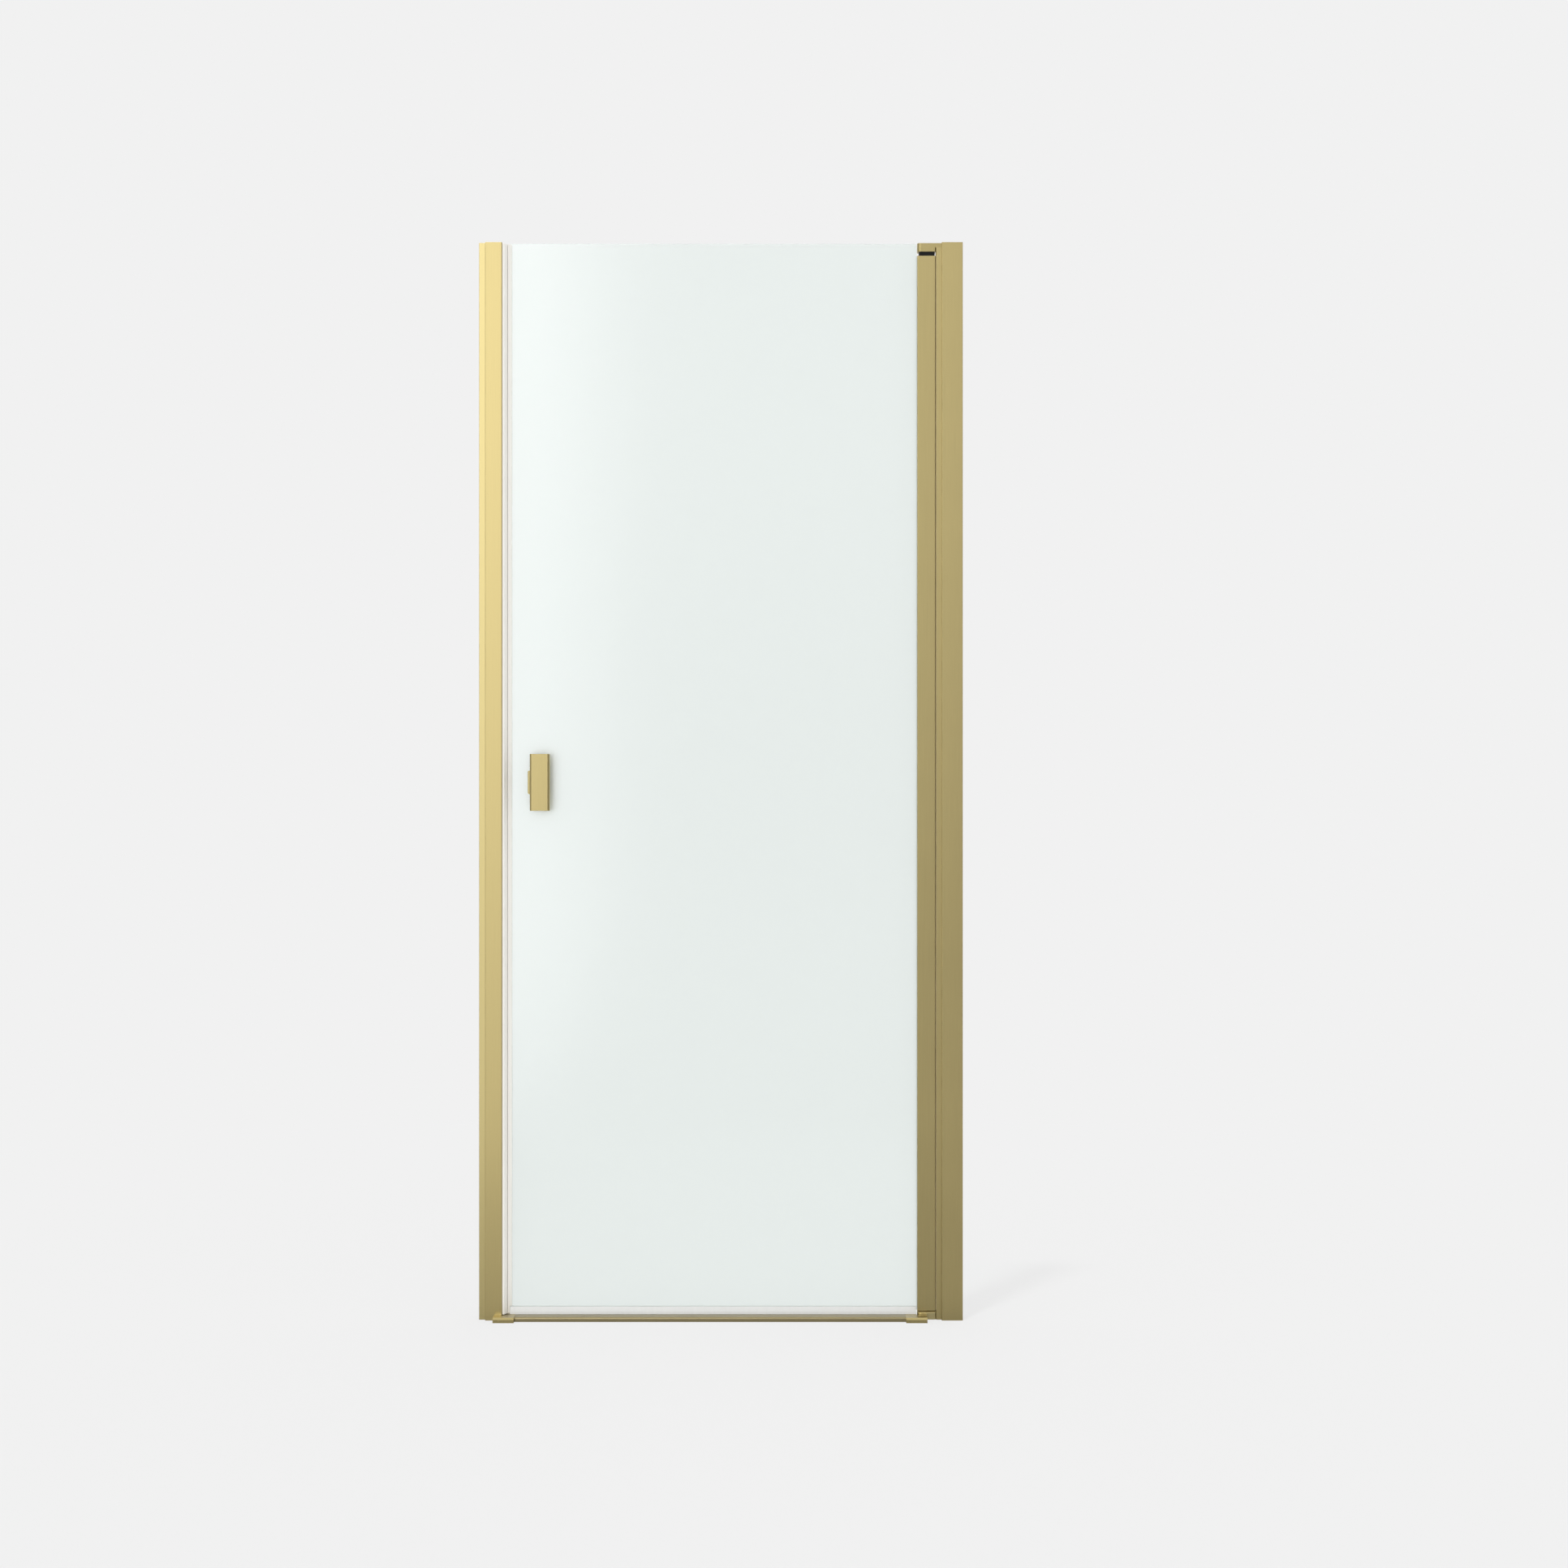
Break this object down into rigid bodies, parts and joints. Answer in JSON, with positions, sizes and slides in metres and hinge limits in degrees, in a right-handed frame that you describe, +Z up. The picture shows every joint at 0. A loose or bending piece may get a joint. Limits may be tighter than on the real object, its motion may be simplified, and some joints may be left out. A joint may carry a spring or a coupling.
{
  "type": "pivot shower door",
  "caption": "Framed pivot shower door for a niche: satin glass leaf in brass-tone profiles, a rise-and-fall pivot, magnetic seals, a short pull handle and a low sill bar.",
  "frame": {"origin": "on the shower tray at mid width, in the mid plane of the glass", "axes": "+X from the strike side to the hinge side, +Y from the room into the shower, +Z up"},
  "size_m": [0.898, 0.09, 2],
  "materials": {
    "brass_tone_profile": "brushed brass-tone anodised",
    "brass_tone_casting": "satin brass-tone plated",
    "brass_tone_handle": "brushed brass-tone plated",
    "satin_glass": "etched satin",
    "pale_seal": "milky soft plastic",
    "clear_seal": "translucent soft plastic",
    "magnet": "dark magnetic strip",
    "black_nylon": "moulded",
    "black_rubber": "matt",
    "steel": "plain stainless"
  },
  "bodies": {
    "frame": {"wall_profile_left": "brass_tone_profile", "wall_profile_right": "brass_tone_profile", "sill_bar": "brass_tone_profile", "sill_cap_left": "brass_tone_casting", "sill_cap_right": "brass_tone_casting"},
    "strike_side": {"strike_profile": "brass_tone_profile", "strike_seal": "pale_seal", "strike_magnet": "magnet", "strike_adjust_screws": "steel", "strike_nut_plates": "steel"},
    "hinge_side": {"slider_profile": "brass_tone_profile", "upper_bracket": "brass_tone_casting", "lower_bracket": "brass_tone_casting", "upper_pivot_pin": "steel", "lower_pivot_pin": "steel", "lower_cam": "black_nylon", "bracket_screws": "steel", "hinge_adjust_screws": "steel", "hinge_nut_plates": "steel"},
    "pivot_block": {"upper_pivot_block": "black_nylon"},
    "door": {"hinge_profile": "brass_tone_profile", "seam_seal": "pale_seal", "glass_pane": "satin_glass", "glazing_gasket_front": "black_rubber", "glazing_gasket_rear": "black_rubber", "cam_follower": "black_nylon", "follower_screw": "steel", "door_seal": "pale_seal", "door_magnet": "magnet", "bottom_seal": "clear_seal", "handle_plate_front": "brass_tone_handle", "handle_plate_rear": "brass_tone_handle", "handle_block_front": "brass_tone_handle", "handle_block_rear": "brass_tone_handle", "handle_grub_screws": "steel", "handle_studs": "steel", "handle_bushes": "clear_seal", "handle_pads": "clear_seal", "handle_plate_screws": "steel"}
  },
  "joints": [
    {"name": "strike_adjust", "type": "slide", "parent": "frame", "child": "strike_side", "axis": [1, 0, 0], "range_m": [-0.01, 0]},
    {"name": "hinge_adjust", "type": "slide", "parent": "frame", "child": "hinge_side", "axis": [1, 0, 0], "range_m": [0, 0.006]},
    {"name": "door_swing", "type": "hinge", "parent": "hinge_side", "child": "pivot_block", "pos_m": [0.388, 0, 0], "axis": [0, 0, 1], "range_deg": [0, 90]},
    {"name": "door_lift", "type": "slide", "parent": "pivot_block", "child": "door", "axis": [0, 0, 1], "range_m": [0, 0.0061]}
  ],
  "couplings": [
    {"joint": "door_lift", "follows": "door_swing", "m_per_rad": 0.0038197}
  ]
}
